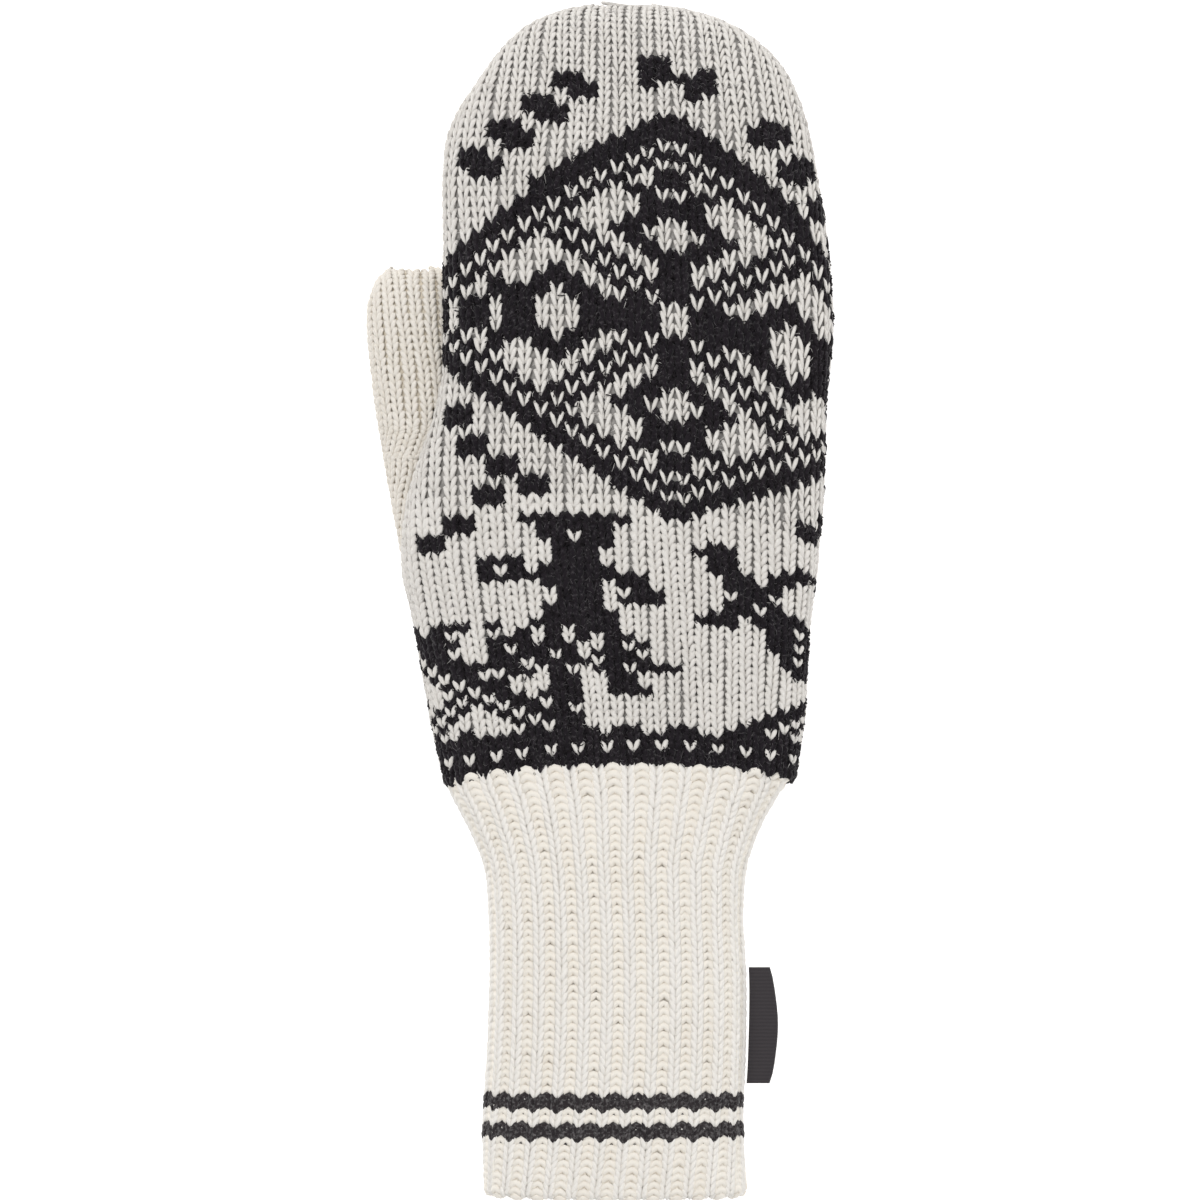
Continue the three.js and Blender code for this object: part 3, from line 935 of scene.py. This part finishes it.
# Heights of rows and the cuff's axis, in pixels, by height in the picture
CUFF_ROWS = [(765, 7.9), (1070, 7.8), (1100, 7.35), (1198, 7.35)]
CUFF_AXIS = [(765, 624), (860, 615), (1198, 615)]
RIBS = 28
# How far ribs stand out of the mean skin, in millimetres. They flatten over these lengths towards the wrist
# and the hem, down to these shares.
RIB_DEPTH = 0.75
WRIST_FLAT = 14 * MM
WRIST_FLAT_SHARE = 0.25
HEM_FLAT = 16 * MM
HEM_FLAT_SHARE = 0.2
# First and last rows of the stripes, from the hem
STRIPES = [(8, 9), (12, 13)]
STRIPE_FAT = 1.1

# A leg of a rib's knit stitch, and the arc of the purl stitch between ribs: across in ribs, along in rows,
# height over the skin in millimetres, thickness as a share of the yarn's
RIB_LEG = np.array([
    (0.05, -0.3, -0.9, 0.7),
    (0.075, 0.0, -0.6, 1.0),
    (0.115, 0.45, -0.5, 1.15),
    (0.17, 0.95, -0.52, 1.15),
    (0.24, 1.35, -0.75, 0.95),
])
PURL_ARC = np.array([
    (0.24, 0.2, -0.8, 0.8),
    (0.31, 0.58, -0.32, 1.1),
    (0.4, 0.92, -0.1, 1.2),
    (0.5, 1.05, -0.02, 1.22),
    (0.6, 0.92, -0.1, 1.2),
    (0.69, 0.58, -0.32, 1.1),
    (0.76, 0.2, -0.8, 0.8),
])
# A speck of the other yarn under a purl arc where the colour changes
SPECK = np.array([(0.45, 0.42, 0.05, 0.7), (0.5, 0.5, 0.2, 1.0), (0.55, 0.42, 0.05, 0.7)])
# The yarns' radii in ribs
RIB_RADIUS = 0.108
PURL_RADIUS = 0.13
SPECK_RADIUS = 0.06

# The hem rolls inwards round this radius, in millimetres, and this many rows are below its edge
HEM_ROLL = 1.5
ROLL_GAP = 0.2
ROLLED_ROWS = 7
# How far inside the cuff its skin begins and ends, and its first row begins and its last one ends
CUFF_LOW_GAP = 2.2 * MM
CUFF_HIGH_GAP = 4.2 * MM
FIRST_ROW_GAP = 0.5 * MM
LAST_ROW_GAP = 0.6 * MM
# How far rows sag at the sides by the wrist and rise by the hem, in millimetres, and over which part of it
LEFT_SAG = 4.6
RIGHT_SAG = 3.4
SAG_SHARE = 0.45
HEM_RISE = 1.0
RISE_SHARE = 0.3
cuff_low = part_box("cuff")[0].y


def rib_height(u, y):
    """How far the surface stands out of the mean skin, in millimetres, u ribs from a rib's middle."""
    near_wrist = np.clip((wrist_y - y) / WRIST_FLAT, WRIST_FLAT_SHARE, 1)
    near_hem = HEM_FLAT_SHARE + (1 - HEM_FLAT_SHARE) * np.clip((y - cuff_low) / HEM_FLAT, 0, 1)
    return RIB_DEPTH * np.cos(2 * math.pi * u) * near_wrist * near_hem


class Ribbing:
    """Ribs all round the cuff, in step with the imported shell's."""

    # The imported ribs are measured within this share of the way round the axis, and not in so many end rows
    FACING = 0.25
    END_ROWS = 25

    def __init__(self):
        low, high = cuff_low + CUFF_LOW_GAP, wrist_y - CUFF_HIGH_GAP
        skin = Skin("cuff", low, high, axis_line(CUFF_AXIS), 1, soften=(3.0, 6.0))
        self.skin = skin
        self.phase = self.packed_phase()
        start = cuff_low - skin.along_axis(np.zeros(1))[0]
        t = np.arange(skin.t0, skin.t_end + KNOWN_PAST, MM)
        heights = table(CUFF_ROWS, picture_height(skin.along_axis(t))) * PIXEL
        self.rows = lay_rows(start + FIRST_ROW_GAP, skin.t_end + LAID_PAST, t, heights)
        self.edge = start + (HEM_ROLL + ROLL_GAP) * MM
        self.count = int(np.searchsorted(self.rows, wrist_y - LAST_ROW_GAP - cuff_low + start)) - 1

    def packed_phase(self):
        """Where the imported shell's ribs lie from the axis, in ribs, for each row of the skin."""
        skin = self.skin
        inner = slice(skin.SPARE, -skin.SPARE)
        s = skin.s0 + np.arange(skin.grid.shape[1]) * skin.ARC
        size = skin.perimeter[inner] / RIBS
        relief = (skin.relief * skin.normal[inner]).sum(2)
        wave = np.exp(-2j * math.pi * s[None, :] / size[:, None])
        facing = np.abs(s) < self.FACING * skin.perimeter.min()
        phase = np.unwrap(-np.angle((relief * wave)[:, facing].sum(1))) / (2 * math.pi)
        places = np.arange(len(phase), dtype=float)
        middle = (places > self.END_ROWS) & (places < len(places) - self.END_ROWS)
        bend = np.polyfit(places[middle], phase[middle], 2)
        return np.polyval(bend, np.arange(-skin.SPARE, len(phase) + skin.SPARE))

    def fall(self, share, t):
        """How far the rows sag towards the sides: down at the wrist, up at the hem."""
        along = np.clip(t / self.skin.t_end, 0, 1)
        wrist = np.clip(1 - (1 - along) / SAG_SHARE, 0, 1) ** 2
        hem = np.clip(1 - along / RISE_SHARE, 0, 1) ** 2
        return (np.where(share < 0, LEFT_SAG, RIGHT_SAG) * wrist - HEM_RISE * hem) * share**2 * MM

    def point(self, across, along):
        """Points for ribs across and rows along. Rows below the first roll round the hem and up inside."""
        skin = self.skin
        t = row_arc(self.rows, along)
        past = np.maximum(self.edge - t, 0)
        t = np.maximum(t, self.edge)
        size = skin.line(skin.perimeter, t) / RIBS
        s = (across + skin.line(self.phase, t)) * size
        half = size * RIBS / 2
        s = np.mod(s + half, 2 * half) - half
        # On the underside the sag eases off again
        share = skin.share(s, t)
        folded = np.sign(share) * (2 - np.minimum(np.abs(share), 2))
        share = np.where(np.abs(share) > 1, folded, share)
        p, n = skin.point(s, t - self.fall(share, t))
        p = p + n * rib_height(across, p[..., 1])[..., None] * MM
        roll = HEM_ROLL * MM
        turn = np.minimum(past / roll, math.pi)
        inside = past - turn * roll
        down = np.zeros(p.shape)
        down[..., 1] = -1
        p = p - n * (roll * (1 - np.cos(turn)))[..., None]
        p = p + down * (roll * np.sin(turn) - inside)[..., None]
        return p, unit(n * np.cos(turn)[..., None] + down * np.sin(turn)[..., None]), size

    def yarn(self, shape, rib, row, radius, sides, mirror=1):
        """A run of yarn of one shape at each rib and row. mirror is -1 for its mirror image."""
        count = len(rib)
        across = rib[:, None] + mirror * shape[:, 0] + vary(0.008, count)
        along = row[:, None] + shape[:, 1] + vary(0.05, count)
        p, n, size = self.point(across, along)
        p = p + n * (shape[:, 2] + vary(0.04, count))[..., None] * MM
        thick = radius * size * shape[:, 3] * (1 + vary(0.05, count))
        return tubes(p, n, thick, thick * 0.8, sides)


def dress_cuff():
    """Knit and purl stitches in turn all round, and specks of yarn where the colour changes."""
    ribs = Ribbing()
    rib, row = every(np.arange(RIBS), np.arange(-ROLLED_ROWS, ribs.count))
    dark = np.any([(row >= first) & (row <= last) for first, last in STRIPES], axis=0)
    # The pale cuff's purl arcs take the cream wool with painted shade; the striped ones take the stripe wool
    # as it is.
    yarns = (
        ("pale", ~dark, 1.0, CREAM_WOOL, PAINTED_SHADE_PURL_WOOL),
        ("stripe", dark, STRIPE_FAT, STRIPE_WOOL, STRIPE_WOOL),
    )
    for yarn, keep, fat, knit, purl in yarns:
        legs = [ribs.yarn(RIB_LEG, rib[keep], row[keep], RIB_RADIUS * fat, 4, hand) for hand in (-1, 1)]
        mesh_of_tubes(f"cuff_ribs_{yarn}", legs, knit)
        arcs = ribs.yarn(PURL_ARC, rib[keep], row[keep], PURL_RADIUS * fat, 5)
        mesh_of_tubes(f"cuff_purls_{yarn}", [arcs], purl)
    changes = (
        ("pale", [last for first, last in STRIPES], CREAM_WOOL),
        ("stripe", [first - 1 for first, last in STRIPES], STRIPE_WOOL),
    )
    for yarn, rows, finish in changes:
        keep = np.isin(row, rows)
        specks = ribs.yarn(SPECK, rib[keep], row[keep], SPECK_RADIUS, 5)
        mesh_of_tubes(f"cuff_specks_{yarn}", [specks], finish)


dress_cuff()

# The thumb

# Its axis by height in the picture, its row height and column width, in pixels
THUMB_AXIS = [(266, 412), (320, 417), (440, 430), (520, 441), (598, 452)]
THUMB_ROWS = [(0, 7.6)]
THUMB_COLUMNS = [(0, 14.6)]
THUMB_BASE = 545
THUMB_PAST = 1.2 * MM
THUMB_FAT = 1.25


def dress_thumb():
    """Plain stitches all over the thumb."""
    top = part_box("thumb")[1].y
    for name, side in (("top", 1), ("under", -1)):
        low, high = along_picture(THUMB_BASE), top - TIP_GAP
        skin = Skin("thumb", low, high, axis_line(THUMB_AXIS), side, fill=True)
        cloth = Fabric(skin, THUMB_ROWS, THUMB_COLUMNS, 0.0, False)
        column, row = cloth.panel(OVER[side], THUMB_PAST)
        drift = 0.06 * np.sin(row * 0.3 + column * 1.3)
        legs = cloth.legs(column, row, drift, THUMB_FAT)
        # The thumb's wool carries painted shade.
        mesh_of_tubes(f"thumb_{name}", legs, PAINTED_SHADE_THUMB_WOOL)


dress_thumb()

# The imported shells, drawn in under the stitches, are the knitting's inner side


def draw_in(node, depth, finish):
    """Draws a shell's surface in by a depth in millimetres."""
    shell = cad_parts[node]
    weld = shell.modifiers.new("weld", "WELD")
    weld.merge_threshold = 0.01 * MM
    inward = shell.modifiers.new("inward", "DISPLACE")
    inward.strength = -depth * MM
    inward.mid_level = 0
    shell.data.materials.clear()
    shell.data.materials.append(finish)


draw_in("hand", 1.15, HAND_BACK)
draw_in("cuff", 0.85, CREAM_BACK)
# The thumb's inner side is a tan with painted shade.
draw_in("thumb", 1.0, PAINTED_SHADE_THUMB_BACK)

# The tab

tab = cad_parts["side_tab"]
tab.data.materials.clear()
tab.data.materials.append(tape())

# Floor, camera and light

FLOOR_DROP = 1.0 * MM
FLOOR_HALF = 3.0
FLOOR_COLOUR = (0.9, 0.9, 0.9)
FLOOR_GLOW = 0.6
WHITE = (1, 1, 1)
SKY_STRENGTH = 0.55
# The camera's height, and the height at which the picture's scale is true
DISTANCE = 2.5
WAIST = 0.016
SENSOR = 36


def lay_floor():
    """A plain pale sheet that is clear when it is seen from below, so the palm shows."""
    mesh = bpy.data.meshes.new("floor")
    corners = ((-1, -1), (1, -1), (1, 1), (-1, 1))
    places = [(x * FLOOR_HALF, y * FLOOR_HALF, -FLOOR_DROP) for x, y in corners]
    mesh.from_pydata(places, [], [(0, 1, 2, 3)])
    finish = Finish("floor", FLOOR_COLOUR, roughness=1.0, specular=0.0)
    finish.put(finish.shader, {"Emission Color": WHITE, "Emission Strength": FLOOR_GLOW})
    below = finish.node("ShaderNodeNewGeometry", {}).outputs["Backfacing"]
    clear = finish.node("ShaderNodeBsdfTransparent", {}).outputs[0]
    values = {0: below, 1: finish.shader.outputs[0], 2: clear}
    choice = finish.node("ShaderNodeMixShader", values).outputs[0]
    finish.put(finish.nodes["Material Output"], {"Surface": choice})
    mesh.materials.append(finish.material)
    floor = bpy.data.objects.new("floor", mesh)
    scene.collection.objects.link(floor)


def set_camera():
    """Straight above the origin, but for the half pixel that lines the render up with the photograph."""
    camera = bpy.data.objects.new("camera", bpy.data.cameras.new("camera"))
    scene.collection.objects.link(camera)
    scene.camera = camera
    camera.location = (0.5 * PIXEL, -0.5 * PIXEL, DISTANCE)
    camera.data.sensor_width = SENSOR
    camera.data.lens = SENSOR * (DISTANCE - WAIST) / (PICTURE_SIZE * PIXEL)
    camera.data.clip_end = 20


def light_world():
    """A soft sky for the mitten, and plain white for the camera."""
    world = bpy.data.worlds.new("world")
    scene.world = world
    world.use_nodes = True
    nodes, links = world.node_tree.nodes, world.node_tree.links
    nodes.clear()
    choice = nodes.new("ShaderNodeMixShader")
    links.new(nodes.new("ShaderNodeLightPath").outputs["Is Camera Ray"], choice.inputs[0])
    for place, strength in ((1, SKY_STRENGTH), (2, 1.0)):
        background = nodes.new("ShaderNodeBackground")
        background.inputs["Color"].default_value = (*WHITE, 1)
        background.inputs["Strength"].default_value = strength
        links.new(background.outputs[0], choice.inputs[place])
    links.new(choice.outputs[0], nodes.new("ShaderNodeOutputWorld").inputs["Surface"])


def lamp(name, place, size, power):
    """A square lamp that faces the mitten."""
    data = bpy.data.lights.new(name, "AREA")
    data.size = size
    data.energy = power
    light = bpy.data.objects.new(name, data)
    scene.collection.objects.link(light)
    light.location = place
    light.rotation_mode = "QUATERNION"
    light.rotation_quaternion = (-Vector(place)).to_track_quat("-Z", "Y")


lay_floor()
set_camera()
scene.view_settings.view_transform = "Standard"
light_world()
lamp("key", (-0.5, 0.9, 1.3), size=0.7, power=11)
lamp("fill", (0.9, -0.3, 1.2), size=0.9, power=5)
